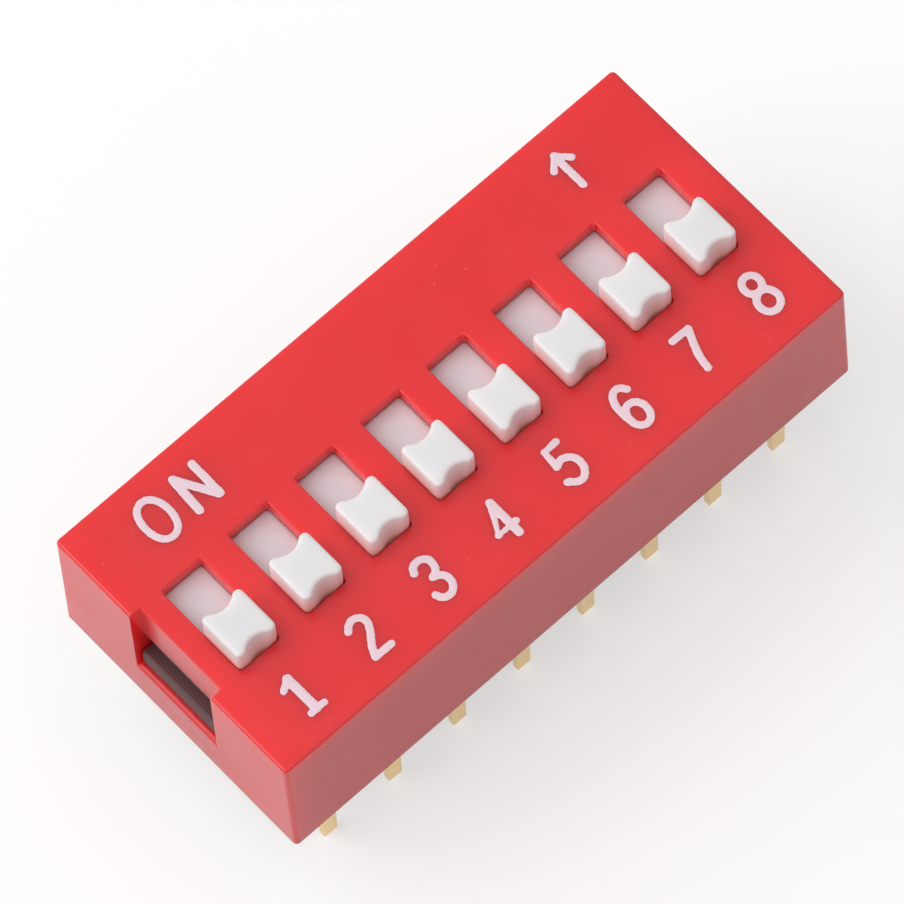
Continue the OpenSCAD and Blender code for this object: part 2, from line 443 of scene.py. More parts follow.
class Tree:
    """A node tree that is built from scratch."""

    def __init__(self, owner: Material | bpy.types.World) -> None:
        """Args: owner: The material or the world that the tree belongs to."""
        owner.use_nodes = True
        self.tree = owner.node_tree
        self.tree.nodes.clear()

    def node(self, kind: str, settings: dict[str, object] | None = None,
             inputs: dict[str | int, object] | None = None) -> bpy.types.Node:
        """Adds a node.

        Args:
            kind: The node's type.
            settings: Its properties by name.
            inputs: Its inputs by name or place, each a value or another node's output.

        Returns:
            The node.
        """
        made = self.tree.nodes.new(kind)
        for name, value in (settings or {}).items():
            setattr(made, name, value)
        for name, value in (inputs or {}).items():
            if isinstance(value, Socket):
                self.tree.links.new(value, made.inputs[name])
            else:
                made.inputs[name].default_value = value
        return made

    def math(self, operation: str, first: Socket, second: Socket) -> Socket:
        """Joins two values by an operation, and gives the result's output."""
        made = self.node("ShaderNodeMath", {"operation": operation}, {0: first, 1: second})
        return made.outputs["Value"]

    def ramp(self, value: Socket, start: Pair, end: Pair
             ) -> Socket:
        """Maps one range of a value to another.

        Args:
            value: The value.
            start: The lower and upper end of its own range.
            end: What they become.

        Returns:
            The new value.
        """
        made = self.node("ShaderNodeMapRange", {}, {
            "Value": value, "From Min": start[0], "From Max": start[1],
            "To Min": end[0], "To Max": end[1],
        })
        return made.outputs["Result"]

    def shown(self) -> Socket:
        """Says whether a ray shows a surface, directly, mirrored or through glass.

        Returns:
            An output that is 1 for such a ray and 0 for one that only carries light.
        """
        path = self.node("ShaderNodeLightPath").outputs
        mirrored = self.math("MAXIMUM", path["Is Glossy Ray"], path["Is Transmission Ray"])
        return self.math("MAXIMUM", path["Is Camera Ray"], mirrored)


class Shader(Tree):
    """A material's tree, whose patterns read Object coordinates in metres."""

    FACTOR, FIRST, SECOND, RESULT = 0, 6, 7, 2

    def __init__(self, name: str) -> None:
        """Args: name: The material's name."""
        self.material = bpy.data.materials.new(name)
        super().__init__(self.material)

    @cached_property
    def place(self) -> Socket:
        """The output that gives a point's Object coordinates."""
        return self.node("ShaderNodeTexCoord").outputs["Object"]

    def noise(self, size: float, detail: float = 2, place: Socket | None = None) -> Socket:
        """Gives smooth random values.

        Args:
            size: The width of a blot, in millimetres.
            detail: How many finer layers it has.
            place: Where they are read, if not at a point's own coordinates.

        Returns:
            An output from 0 to 1.
        """
        made = self.node("ShaderNodeTexNoise", {}, {
            "Vector": place or self.place, "Scale": 1 / (size * MM), "Detail": detail,
        })
        return made.outputs["Fac"]

    def mix(self, kind: str, share: Socket | float, first: Socket | Colour,
            second: Socket | Colour) -> Socket:
        """Mixes two colours.

        Args:
            kind: The way of mixing.
            share: How much of the second there is.
            first: A colour or a colour output.
            second: A colour or a colour output.

        Returns:
            The mixed colour.
        """
        first, second = (value if isinstance(value, Socket) else (*value, 1)
                         for value in (first, second))
        made = self.node("ShaderNodeMix", {"data_type": "RGBA", "blend_type": kind}, {
            self.FACTOR: share, self.FIRST: first, self.SECOND: second,
        })
        return made.outputs[self.RESULT]

    def with_painted_light(self, colour: Socket, stops: Stops) -> Socket:
        """Paints light and shade into a colour by height, evenly all round.

        Args:
            colour: The plain colour.
            stops: Heights in millimetres from low to high, each with the colour of the painted
                light and shade there.

        Returns:
            The colour with the painted light and shade.
        """
        low, high = stops[0][0], stops[-1][0]
        height = self.node("ShaderNodeSeparateXYZ", {}, {"Vector": self.place}).outputs["Z"]
        made = self.node("ShaderNodeValToRGB", {}, {
            "Fac": self.ramp(height, (low * MM, high * MM), (0, 1)),
        })
        marks = made.color_ramp.elements
        for place, _ in stops[1:-1]:
            marks.new((place - low) / (high - low))
        for mark, (_, shade) in zip(marks, stops):
            mark.color = (*shade, 1)
        return self.mix("MULTIPLY", 1, colour, made.outputs["Color"])

    def bump(self, height: Socket, depth: float) -> Socket:
        """Gives a relief.

        Args:
            height: The relief's height, from 0 to 1.
            depth: What a height of 1 stands for, in millimetres.

        Returns:
            The changed normal.
        """
        made = self.node("ShaderNodeBump", {}, {
            "Height": height, "Strength": 1.0, "Distance": depth * MM,
        })
        return made.outputs["Normal"]

    def finish(self, inputs: dict[str, object]) -> Material:
        """Closes the tree with a surface shader.

        Args:
            inputs: The shader's inputs by name.

        Returns:
            The material.
        """
        surface = self.node("ShaderNodeBsdfPrincipled", {}, inputs)
        self.node("ShaderNodeOutputMaterial", {}, {"Surface": surface.outputs["BSDF"]})
        return self.material


@dataclass(frozen=True)
class MouldedPlastic:
    """Moulded plastic with a faint mottle, an eroded grain, a few pale specks of dust and, where
    given, light and shade painted in by height.
    """

    name: str
    colour: Colour
    mottle: Colour
    speck: Colour
    speck_share: float
    roughness: Pair
    grain: float
    grain_depth: float
    cloud: float = 2.2
    cloud_range: Pair = (0.35, 0.65)
    dust: float = 0.14
    dust_edge: float = 0.06
    dust_cover: float = 0.35
    glow: float = 0.0
    glow_reach: float = 0.3
    glow_tint: Colour = (1.0, 0.7, 0.6)
    ior: float = 1.5
    # light and shade painted in by height, multiplied into the colour; empty for none
    painted_light_stops: Stops = ()

    def material(self) -> Material:
        """Returns: The finish as a material."""
        shader = Shader(self.name)
        wide = shader.noise(self.cloud, detail=3)
        dust = shader.noise(self.dust, detail=0)
        mottled = shader.ramp(wide, self.cloud_range, (0, 1))
        colour = shader.mix("MIX", mottled, self.colour, self.mottle)
        specks = shader.ramp(dust, (self.speck_share, self.speck_share + self.dust_edge),
                             (0, self.dust_cover))
        colour = shader.mix("MIX", specks, colour, self.speck)
        # paints light and shade in by height, where stops are given
        if self.painted_light_stops:
            colour = shader.with_painted_light(colour, self.painted_light_stops)
        return shader.finish({
            "Base Color": colour,
            "Roughness": shader.ramp(wide, NOISE_RANGE, self.roughness),
            "IOR": self.ior,
            "Subsurface Weight": self.glow,
            "Subsurface Radius": self.glow_tint,
            "Subsurface Scale": self.glow_reach * MM,
            "Normal": shader.bump(shader.noise(self.grain), self.grain_depth),
        })


@dataclass(frozen=True)
class PlatedMetal:
    """Thin plating over stamped strip, with drawing lines along the strip."""

    name: str
    colour: Colour
    worn: Colour
    roughness: Pair
    line: float
    line_depth: float
    stretch: float = 0.06
    cloud: float = 0.8
    wear_range: Pair = (0.4, 0.7)

    def material(self) -> Material:
        """Returns: The finish as a material."""
        shader = Shader(self.name)
        stretch = shader.node("ShaderNodeMapping", {}, {
            "Vector": shader.place, "Scale": (1, 1, self.stretch),
        })
        lines = shader.noise(self.line, place=stretch.outputs["Vector"])
        wear = shader.ramp(shader.noise(self.cloud), self.wear_range, (0, 1))
        return shader.finish({
            "Base Color": shader.mix("MIX", wear, self.colour, self.worn),
            "Metallic": 1.0,
            "Roughness": shader.ramp(lines, NOISE_RANGE, self.roughness),
            "Normal": shader.bump(lines, self.line_depth),
        })


RED_COVER = MouldedPlastic(
    name="red_plastic", colour=(0.87, 0.018, 0.024), mottle=(0.90, 0.021, 0.027),
    speck=(0.90, 0.22, 0.22), speck_share=0.84, roughness=(0.20, 0.28), grain=0.06,
    grain_depth=0.001, glow=1.0, glow_reach=1.0,
)
BLACK_BASE = MouldedPlastic(
    name="black_plastic", colour=(0.112, 0.050, 0.053), mottle=(0.120, 0.055, 0.058),
    speck=(0.16, 0.14, 0.14), speck_share=0.84, roughness=(0.34, 0.42), grain=0.05,
    grain_depth=0.0015, ior=1.36,
)
WHITE_KNOB = MouldedPlastic(
    name="white_plastic", colour=(0.80, 0.79, 0.80), mottle=(0.83, 0.82, 0.83),
    speck=(0.70, 0.68, 0.66), speck_share=0.86, roughness=(0.55, 0.62), grain=0.05,
    grain_depth=0.001, glow=1.0, glow_reach=0.4, glow_tint=(0.85, 1.0, 1.0),
    # light and shade painted in by height: the darker bluish grey at the carriage's top (4.70) is
    # painted shade for the channel, and the red-orange up the knob's foot (4.76 to 5.6) is painted
    # bounce light from the red cover; being painted, neither changes as the slider moves
    painted_light_stops=((4.70, (0.90, 0.91, 0.94)), (4.76, (1.0, 0.66, 0.58)), (5.20, (1.0, 0.59, 0.50)),
          (5.6, (1.0, 0.87, 0.85)), (5.9, (1.0, 1.0, 1.0))),
)
PIN_PLATE = PlatedMetal(
    name="pin_plating", colour=(0.97, 0.73, 0.38), worn=(0.90, 0.70, 0.42),
    roughness=(0.32, 0.46), line=0.03, line_depth=0.002,
)
CONTACT_PLATE = PlatedMetal(
    name="contact_plating", colour=(0.90, 0.66, 0.30), worn=(0.84, 0.62, 0.32),
    roughness=(0.22, 0.34), line=0.02, line_depth=0.001,
)
PAD_INK = MouldedPlastic(
    name="pad_ink", colour=(0.88, 0.64, 0.70), mottle=(0.84, 0.65, 0.72),
    speck=(0.90, 0.45, 0.50), speck_share=0.75, roughness=(0.45, 0.6), grain=0.04,
    grain_depth=0.002,
)


# ---- Cover ----


@dataclass
class Cover:
    """The one-piece moulded cover: a thin shell with slider channels and snap windows."""

    low: Vector
    high: Vector
    centres: list[float]
    draft: float = 0.05
    corner_r: float = 0.15
    edge_r: float = 0.1
    wall_t: float = 0.72
    rib_t: float = 0.5
    top_t: float = 0.6
    pad_floor: float = 2.6
    slot_w: float = 1.5
    slot_l: float = 3.42
    slot_r: float = 0.1
    window_w: float = 3.44
    notch_depth: float = 0.4
    notch_r: float = 0.06
    sill_z: float = 1.8
    sill_t: float = 0.37
    lintel_z: float = 3.45
    lead_in: float = 0.1
    lip_r: float = 0.04
    sill_r: float = 0.16
    sill_slopes: Pair = (0.35, 0.65)
    crease_r: float = 0.025
    crease_facets: int = 3
    sharp: float = 40

    @property
    def half_channel(self) -> float:
        """Half the width of a slider's channel."""
        return (self.centres[1] - self.centres[0] - self.rib_t) / 2

    @property
    def inner_x(self) -> float:
        """Where the cavity ends along X."""
        return self.centres[-1] + self.half_channel

    @property
    def recess_x(self) -> float:
        """How far out the bottom of the notch lies."""
        return self.high.x - self.draft - self.notch_depth

    def shell(self) -> Piece:
        """Returns: The outer block, with its draft and its rounded edges."""
        piece = block("cover_shell", self.low, self.high)
        shrink = [1 - self.draft / half for half in (self.high.x, self.high.y)]
        top, rim = self.high.z, self.low.z
        with Editing(piece) as edit:
            edit.pick(Pick.FACES, lambda place, normal: normal.z > ALONG)
            edit.resize((*shrink, 1), (0, 0, top))
            edit.pick(Pick.EDGES, upright).bevel(self.corner_r)
            edit.pick(Pick.EDGES, lambda place, along: place.z > top - NEAR).bevel(self.edge_r)
            edit.pick(Pick.EDGES, lambda place, along: place.z < rim + NEAR).bevel(self.crease_r)
        return piece

    def hollow_out(self, piece: Piece) -> None:
        """Cuts the room for the base and the sliders' channels and slots.

        Args:
            piece: The shell.
        """
        half_l, half_w = self.inner_x, self.high.y - self.wall_t
        ceiling = self.high.z - self.top_t
        room = block("room", (-half_l, -half_w, -BEYOND), (half_l, half_w, self.pad_floor))
        with Editing(room) as edit:
            edit.slice((0, 0, 0), (0, 0, 1)).slice((0, 0, self.lead_in), (0, 0, 1))
            edit.pick(Pick.CORNERS, lambda place, normal: place.z < self.lead_in / 2)
            edit.resize((1 + self.lead_in / half_l, 1 + self.lead_in / half_w, 1), (0, 0, 0))
        work(piece, room, Cut.REMOVE)
        for x in self.centres:
            for name, half_x, half_y, bottom, top in (
                ("channel", self.half_channel, half_w, self.pad_floor - self.top_t, ceiling),
                ("slot", self.slot_w / 2, self.slot_l / 2, ceiling - self.top_t,
                 self.high.z + BEYOND),
            ):
                tool = block(name, (x - half_x, -half_y, bottom), (x + half_x, half_y, top))
                if name == "slot":
                    with Editing(tool) as edit:
                        edit.pick(Pick.EDGES, upright).bevel(self.slot_r)
                work(piece, tool, Cut.REMOVE)

    def round_sill(self, tool: Piece, side: int, bottom: float) -> None:
        """Bends a window's tool down past the sill, so that it rounds the sill's outer edge.

        Args:
            tool: The solid that cuts the window.
            side: The end that it cuts, -1 or 1.
            bottom: The sill's height.
        """
        face, far = self.high.x, self.high.x + BEYOND
        with Editing(tool) as edit:
            starts = (face - self.sill_r, face - self.sill_r / 2)
            for start, slope in zip(starts, self.sill_slopes):
                edit.slice((side * start, 0, 0), (1, 0, 0))
                edit.pick(Pick.CORNERS, lambda place, normal, start=start: (
                    side * place.x > start + NEAR and place.z < bottom + NEAR))
                edit.move((0, 0, -slope * (far - start)))

    def cut_windows(self, piece: Piece) -> None:
        """Cuts the window and the room for the snap lug in both ends, and the notch in the -X end.

        Args:
            piece: The hollowed shell.
        """
        half_w = self.window_w / 2
        inner, outer = self.inner_x - self.half_channel, self.high.x + BEYOND
        for side in (-1, 1):
            for name, near, far, bottom, top in (
                ("window", inner, outer, self.sill_z, self.lintel_z),
                ("lug_room", inner, self.high.x - self.sill_t, -BEYOND, self.sill_z + self.sill_t),
            ):
                xs = sorted((side * near, side * far))
                tool = block(name, (xs[0], -half_w, bottom), (xs[1], half_w, top))
                if name == "window":
                    self.round_sill(tool, side, bottom)
                work(piece, tool, Cut.REMOVE)
        notch = block("notch", (-outer, -half_w, self.sill_z),
                      (-self.recess_x, half_w, self.high.z + BEYOND))
        with Editing(notch) as edit:
            edit.pick(Pick.EDGES, lambda place, along: (
                upright(place, along) and place.x > -self.recess_x - NEAR and place.y < 0))
            edit.bevel(self.notch_r)
        work(piece, notch, Cut.REMOVE)

    def is_lip(self, place: Vector, along: Vector) -> bool:
        """Says whether an edge is on a slot's mouth or on the top, over the notch's inner end.

        Args:
            place: The edge's middle.
            along: Its direction.

        Returns:
            Whether it is one of these.
        """
        if place.z < self.high.z - NEAR or abs(along.z) > 1 - ALONG:
            return False
        in_slots = (abs(place.x) < self.centres[-1] + self.slot_w / 2 + NEAR
                    and abs(place.y) < self.slot_l / 2 + NEAR)
        in_notch = (abs(place.x + self.recess_x) < self.notch_r + NEAR
                    and abs(place.y) < self.window_w / 2 + NEAR)
        return in_slots or in_notch

    def build(self) -> Piece:
        """Returns: The finished cover, in bench millimetres."""
        piece = self.shell()
        self.hollow_out(piece)
        self.cut_windows(piece)
        with Editing(piece) as edit:
            edit.tidy()
            edit.pick(Pick.EDGES, self.is_lip).bevel(self.lip_r, clamp=False)
        ease(piece, self.crease_r, self.sharp, self.crease_facets)
        piece.name = "moulded_cover"
        return piece


# ---- Sliders ----


@dataclass
class Slider:
    """A slider: the carriage that runs in a channel, and the knob that stands in the slot."""

    HOLLOW_HEIGHTS = 4  # the cutting tool's height in knobs

    low: Vector
    high: Vector
    knob_w: float = 1.49
    knob_l: float = 1.63
    carriage_t: float = 0.94
    chamfer: float = 0.2
    hollow_r: float = 0.65
    hollow_depth: float = 0.22
    root_depth: float = 0.3
    corner_r: float = 0.14
    hollow_tilt: float = 8
    grain: float = 0.035
    melting: int = 28
    facets: int = 96
    pocket_l: float = 3.4
    pocket_w: float = 1.2
    pocket_depth: float = 0.45
    peg_r: float = 0.2
    head_r: float = 0.32
    head_h: float = 0.1
    spring_t: float = 0.1
    edge_r: float = 0.03
    sharp: float = 30

    @cached_property
    def centre(self) -> Vector:
        """The slider's middle in plan, at Z = 0."""
        return ((self.low + self.high) / 2).xy.to_3d()

    def knob(self) -> Piece:
        """Returns: The knob, softened all over, with both ends hollowed for a fingertip."""
        half_w, half_l = self.knob_w / 2, self.knob_l / 2
        bottom, top = self.low.z + self.carriage_t - self.root_depth, self.high.z
        corner = Vector((half_w, half_l, 0))
        piece = block("knob", self.centre - corner + Vector((0, 0, bottom)),
                      self.centre + corner + Vector((0, 0, top)))
        x0, y0 = self.centre.x, self.centre.y
        reach = self.hollow_r - self.hollow_depth
        with Editing(piece) as edit:
            edit.pick(Pick.EDGES, upright).bevel(self.corner_r)
        for side in (-1, 1):
            take()
            bpy.ops.mesh.primitive_cylinder_add(
                vertices=self.facets, radius=self.hollow_r,
                depth=self.HOLLOW_HEIGHTS * (top - bottom),
                location=(x0, y0 + side * (half_l + reach), top),
                rotation=(side * math.radians(self.hollow_tilt), 0, 0))
            work(piece, named("hollow"), Cut.REMOVE)
        apply_modifier(piece, "REMESH", mode="VOXEL", voxel_size=self.grain)
        apply_modifier(piece, "SMOOTH", factor=SMOOTHING, iterations=self.melting)
        return piece

    def carriage(self) -> Piece:
        """Returns: The carriage with its chamfered ends, its pocket and the staked peg."""
        low, high = self.low.copy(), self.high.copy()
        high.z = low.z + self.carriage_t
        piece = block("carriage", low, high)
        with Editing(piece) as edit:
            edit.pick(Pick.EDGES, lambda place, along: (
                abs(along.x) > ALONG and place.z > high.z - NEAR))
            edit.bevel(self.chamfer, segments=1)
        half = Vector((self.pocket_w / 2, self.pocket_l / 2, 0))
        pocket_z = low.z + self.pocket_depth
        pocket = block("pocket", self.centre - half + Vector((0, 0, low.z - BEYOND)),
                       self.centre + half + Vector((0, 0, pocket_z)))
        work(piece, pocket, Cut.REMOVE)
        ease(piece, self.edge_r, self.sharp)
        head_z = pocket_z - self.spring_t - self.head_h
        for radius, bottom, top in ((self.peg_r, head_z, pocket_z + self.edge_r),
                                    (self.head_r, head_z, head_z + self.head_h)):
            take()
            bpy.ops.mesh.primitive_cylinder_add(
                vertices=self.facets, radius=radius, depth=top - bottom,
                location=self.centre + Vector((0, 0, (top + bottom) / 2)))
            work(piece, named("peg"), Cut.ADD)
        return piece

    def build(self) -> Piece:
        """Returns: The finished slider, in bench millimetres."""
        piece = self.carriage()
        work(piece, self.knob(), Cut.ADD)
        piece.name = "slider_master"
        return piece


# ---- Pins ----


@dataclass
class Pin:
    """A stamped pin: a contact pad, a bend, a shoulder and a blade with a coined tip."""

    NUMBER_PAD_GAP = 0.05
    ON_PAD_GAP = 1.1

    pad_gap: float
    foot_z: float
    row_y: float = 3.81
    strip_t: float = 0.25
    pad_w: float = 1.4
    pad_z: float = 2.6
    bend_r: float = 0.2
    bend_steps: int = 8
    shoulder_z: float = 1.3
    blade_w: float = 0.57
    shoulder_slope: float = 0.05
    taper: float = 0.04
    taper_l: float = 1.8
    tip_side: float = 0.12
    tip_coin: float = 0.06
    tip_coin_h: float = 0.18
    edge_r: float = 0.03
    sharp: float = 50

    def sections(self) -> list[tuple[float, float, float]]:
        """Gives the sections of the blade from where it starts to narrow down to its end.

        Returns:
            Each section's height above the end, its width and its thickness.
        """
        tip_w = self.blade_w - 2 * self.taper
        coin_slope = self.tip_coin / self.tip_coin_h
        coin_w = tip_w + 2 * self.taper * self.tip_coin_h / self.taper_l
        return [
            (self.taper_l, self.blade_w, self.strip_t),
            (self.tip_coin_h, coin_w, self.strip_t),
            (self.tip_side, tip_w,
             self.strip_t - 2 * coin_slope * (self.tip_coin_h - self.tip_side)),
            (0.0, tip_w - 2 * self.tip_side, self.strip_t - 2 * self.tip_coin),
        ]

    def build(self) -> Piece:
        """Returns: A pin of the +Y row at X = 0, in bench millimetres."""
        mid_r = self.bend_r + self.strip_t / 2
        bend = Vector((0, self.row_y - mid_r, self.pad_z - self.strip_t / 2 - mid_r))
        half_w = self.pad_w / 2
        piece = block("pin", (-half_w, self.pad_gap, self.pad_z - self.strip_t),
                      (half_w, bend.y, self.pad_z))
        with Editing(piece) as edit:
            edit.pick(Pick.FACES, lambda place, normal: normal.y > ALONG)
            edit.spin(bend, (1, 0, 0), math.pi / 2, self.bend_steps)
            edit.extrude((0, 0, self.shoulder_z + self.shoulder_slope - bend.z))
            edit.extrude((0, 0, -self.shoulder_slope))
            edit.resize((self.blade_w / self.pad_w, 1, 1), (0, self.row_y, self.shoulder_z))
            height, width, depth = self.shoulder_z, self.blade_w, self.strip_t
            for above, wide, thick in self.sections():
                edit.extrude((0, 0, self.foot_z + above - height))
                height = self.foot_z + above
                edit.resize((wide / width, thick / depth, 1), (0, self.row_y, height))
                width, depth = wide, thick
            edit.tidy()
        ease(piece, self.edge_r, self.sharp)
        return piece


# ---- Base ----


@dataclass
class Base:
    """The base: a thick floor in which the pins are moulded, and a snap lug at each end."""

    low: Vector
    high: Vector
    inner_x: float
    recess_x: float
    sill_z: float
    gap: float = 0.03
    upright_t: float = 0.4
    half_lug: float = 1.66
    lug_inset: float = 0.43
    nose_reach: float = 0.24
    nose_h: float = 0.72
    brow_set: float = 0.08
    brow_h: float = 0.16
    upright_reach: float = 0.3
    floor_z: float = 2.57
    edge_r: float = 0.03
    sharp: float = 40

    def lug(self) -> Piece:
        """Returns: The snap lug of the +X end, an upright with a blunt nose over the sill."""
        root, upright = self.inner_x - self.upright_t, self.inner_x + self.upright_reach
        face = box_mm("cover")[1].x - self.lug_inset
        nose = self.recess_x + self.nose_reach
        catch_z = self.sill_z + self.gap
        top = catch_z + self.nose_h
        piece = block("lug", (root, -self.half_lug, self.low.z),
                      (upright, self.half_lug, self.high.z))
        foot = block("lug_foot", (root, -self.half_lug, self.low.z), (face, self.half_lug, top))
        head = block("nose", (root, -self.half_lug, catch_z), (nose, self.half_lug, top))
        with Editing(head) as edit:
            edit.slice((0, 0, top - self.brow_h), (0, 0, 1))
            edit.pick(Pick.CORNERS, lambda place, normal: (
                place.x > nose - NEAR and place.z > top - NEAR))
            edit.move((-self.brow_set, 0, 0))
        work(piece, foot, Cut.ADD)
        work(piece, head, Cut.ADD)
        return cleaned(piece)

    def build(self, pins: list[Piece]) -> Piece:
        """Moulds the base round its pins.

        Args:
            pins: The pins, in bench millimetres.

        Returns:
            The finished base, in bench millimetres.
        """
        half_l = self.inner_x - self.gap
        piece = block("moulded_base", (-half_l, self.low.y, self.low.z),
                      (half_l, self.high.y, self.floor_z))
        work(piece, self.lug(), Cut.ADD)
        work(piece, turned(self.lug()), Cut.ADD)
        ease(cleaned(piece), self.edge_r, self.sharp)
        for pin in pins:
            work(piece, copied(pin, "pin_bed", (0, 0, 0)), Cut.REMOVE)
        return cleaned(piece)


# ---- Print ----


TUBE_ROUNDNESS = 3  # the bevel resolution of every stroke


class Run(Enum):
    """How a stroke runs through its points."""

    SMOOTH = "AUTO"
    STRAIGHT = "VECTOR"


def tube(curve: Piece, width: float, steps: int) -> Piece:
    """Makes a round tube of the curve that an operator has just added.

    Args:
        curve: The curve.
        width: The tube's width.
        steps: The lengths between two knots.

    Returns:
        The tube.
    """
    curve.data.bevel_depth, curve.data.bevel_resolution = width / 2, TUBE_ROUNDNESS
    curve.data.resolution_u = steps
    bpy.ops.object.convert(target="MESH")
    return curve


@dataclass(frozen=True)
class Stroke:
    """One stroke of the print, with round ends."""

    STEPS = 8
    BALL_FACETS = 16

    points: tuple[Pair, ...]
    run: Run = Run.SMOOTH
    width: float = 0.24

    def solids(self) -> list[Piece]:
        """Returns: The stroke's tube, with a ball at each of its ends and its sharp bends."""
        take()
        bpy.ops.curve.primitive_bezier_curve_add(location=(0, 0, 0))
        curve = bpy.context.object
        knots = curve.data.splines[0].bezier_points
        knots.add(len(self.points) - len(knots))
        for knot, (x, y) in zip(knots, self.points):
            knot.co = (x, y, 0)
            knot.handle_left_type = knot.handle_right_type = self.run.value
        curve.data.use_fill_caps = True
        solids = [tube(curve, self.width, self.STEPS)]
        ends = (self.points[0], self.points[-1])
        for x, y in self.points if self.run is Run.STRAIGHT else ends:
            take()
            bpy.ops.mesh.primitive_uv_sphere_add(
                segments=self.BALL_FACETS, ring_count=self.BALL_FACETS // 2,
                radius=self.width / 2, location=(x, y, 0))
            solids.append(bpy.context.object)
        return solids


@dataclass(frozen=True)
class Loop:
    """One closed oval stroke of the print."""

    STEPS = 16

    centre: Pair
    radii: Pair
    width: float = 0.24

    def solids(self) -> list[Piece]:
        """Returns: The loop's tube, alone in a list."""
        take()
        bpy.ops.curve.primitive_bezier_circle_add(radius=1, location=(0, 0, 0))
        loop = bpy.context.object
        for knot in loop.data.splines[0].bezier_points:
            for part in (knot.co, knot.handle_left, knot.handle_right):
                part.x = part.x * self.radii[0] + self.centre[0]
                part.y = part.y * self.radii[1] + self.centre[1]
        return [tube(loop, self.width, self.STEPS)]


NUMERALS: tuple[tuple[Stroke | Loop, ...], ...] = (
    (
        Stroke(((-0.31, 0.37), (0.02, 0.58)), width=0.22),
        Stroke(((0.02, 0.58), (0.03, -0.64)), width=0.3),
        Stroke(((-0.19, -0.66), (0.31, -0.66)), width=0.22),
    ),
    (
        Stroke(((-0.32, 0.45), (-0.14, 0.61), (0.1, 0.63), (0.28, 0.42), (0.2, 0.12),
                (-0.1, -0.3), (-0.27, -0.65))),
        Stroke(((-0.27, -0.65), (0.33, -0.65))),
    ),
    (
        Stroke(((-0.31, 0.48), (-0.22, 0.63), (0, 0.7), (0.24, 0.58), (0.29, 0.38),
                (0.2, 0.14), (0, 0.04))),
        Stroke(((0, 0.04), (0.22, -0.07), (0.32, -0.3), (0.22, -0.58), (0, -0.69),
                (-0.22, -0.6), (-0.31, -0.42))),
    ),
    (
        Stroke(((0.18, 0.61), (-0.32, -0.3), (0.33, -0.3)), Run.STRAIGHT),
        Stroke(((0.17, 0.61), (0.17, -0.63)), width=0.27),
    ),
    (
        Stroke(((0.26, 0.7), (-0.2, 0.68), (-0.25, 0.1)), Run.STRAIGHT),
        Stroke(((-0.25, 0.1), (0, 0.19), (0.27, 0.03), (0.35, -0.25), (0.22, -0.57),
                (0, -0.67), (-0.35, -0.45))),
    ),
    (
        Stroke(((0.29, 0.5), (0.12, 0.69), (-0.08, 0.68), (-0.27, 0.42), (-0.32, 0),
                (-0.29, -0.35))),
        Loop((0.01, -0.28), (0.31, 0.4)),
    ),
    (
        Stroke(((-0.31, 0.69), (0.29, 0.68)), Run.STRAIGHT),
        Stroke(((0.29, 0.67), (0.1, 0.25), (-0.06, -0.18), (-0.13, -0.61))),
    ),
    (
        Loop((0, 0.42), (0.28, 0.31)),
        Loop((0.01, -0.27), (0.33, 0.37)),
    ),
)
LETTER_O = (Loop((0, 0), (0.447, 0.7), 0.23),)
LETTER_N = (
    Stroke(((-0.36, 0.62), (-0.39, 0.09), (-0.43, -0.62)), width=0.27),
    Stroke(((-0.36, 0.62), (0.32, -0.61)), width=0.26),
    Stroke(((0.37, 0.61), (0.36, -0.62)), width=0.26),
)
ARROW = (
    Stroke(((0, -0.64), (0, 0.62))),
    Stroke(((-0.34, 0.24), (0, 0.62), (0.34, 0.24)), Run.STRAIGHT),
)


@dataclass
class Print:
    """The pad print on the top: a numeral by each position, ON and an arrow that points to it."""

    centres: list[float]
    top_z: float
    row_y: float = -3.34
    row_shift: float = 0.09
    row_spread: float = 1.007
    row_rise: float = 0.08
    on_places: tuple[Pair, ...] = ((-8.23, 3.41), (-6.74, 3.41))
    arrow_place: Pair = (7.7, 3.43)
    voxel: float = 0.02
    thickness: float = 0.016
    ragged: float = 0.035
    rag_size: float = 0.1
    rag_middle: float = 0.5
    smoothing: int = 2

    def sign(self, name: str, strokes: Iterable[Stroke | Loop], place: Pair
             ) -> Piece:
        """Prints one sign.

        Args:
            name: The sign's name.
            strokes: What it is drawn with.
            place: Its centre on the top.

        Returns:
            The layer of ink, in bench millimetres.
        """
        piece = joined(name, [solid for stroke in strokes for solid in stroke.solids()])
        with Editing(piece) as edit:
            edit.everything().move((*place, 0))
        apply_modifier(piece, "REMESH", mode="VOXEL", voxel_size=self.voxel)
        rag = bpy.data.textures.new("ink_rag", "CLOUDS")
        rag.noise_scale = self.rag_size
        apply_modifier(piece, "DISPLACE", texture=rag, strength=self.ragged,
                       mid_level=self.rag_middle, texture_coords="LOCAL")
        apply_modifier(piece, "SMOOTH", factor=SMOOTHING, iterations=self.smoothing)
        widest = max(stroke.width for stroke in strokes)
        flatten = (1, 1, 2 * self.thickness / widest)
        with Editing(piece) as edit:
            edit.everything().resize(flatten, (0, 0, 0)).move((0, 0, self.top_z))
        return piece

    def build(self) -> list[Piece]:
        """Returns: The signs, in bench millimetres."""
        signs = [
            self.sign(f"print_{number}", strokes, (
                x * self.row_spread + self.row_shift,
                self.row_y + self.row_rise / 2 * x / self.centres[-1]))
            for number, (x, strokes) in enumerate(zip(self.centres, NUMERALS), 1)
        ]
        return signs + [self.sign(*others) for others in (
            ("print_o", LETTER_O, self.on_places[0]),
            ("print_n", LETTER_N, self.on_places[1]),
            ("print_arrow", ARROW, self.arrow_place),
        )]


# ---- Set ----


